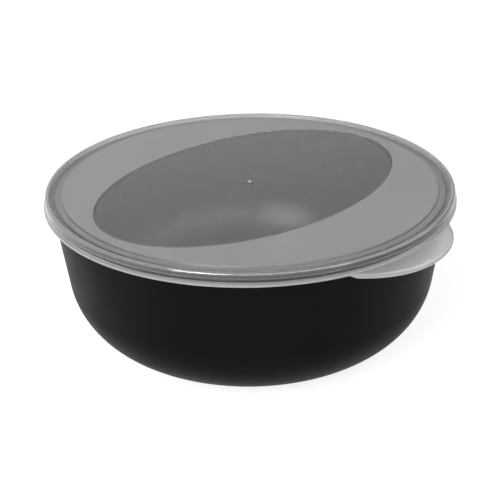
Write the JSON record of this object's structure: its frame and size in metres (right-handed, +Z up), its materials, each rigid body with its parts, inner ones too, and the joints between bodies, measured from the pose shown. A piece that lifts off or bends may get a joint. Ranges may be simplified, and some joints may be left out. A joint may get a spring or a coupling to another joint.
{
  "type": "lidded mixing bowl",
  "caption": "Round dark plastic bowl with a flat base and a press-on translucent lid that has a clear oval window and a pull tab.",
  "frame": {"origin": "centre of the bowl's flat base, on the plane that it stands on", "axes": "+Z up through the lid; the lid's pull tab points to -Y; the long axis of the oval window lies along X"},
  "size_m": [0.25, 0.2641, 0.0962],
  "materials": {
    "bowl_plastic": "fine satin polypropylene, nearly black",
    "lid_plastic": "translucent natural polypropylene, frosted with a polished oval window and a polished edge"
  },
  "bodies": {
    "bowl": {"bowl": "bowl_plastic"},
    "lid": {"lid": "lid_plastic"}
  },
  "joints": [
    {"name": "lid_lift", "type": "slide", "parent": "bowl", "child": "lid", "axis": [0, 0, 1], "range_m": [0, 0.12]}
  ]
}
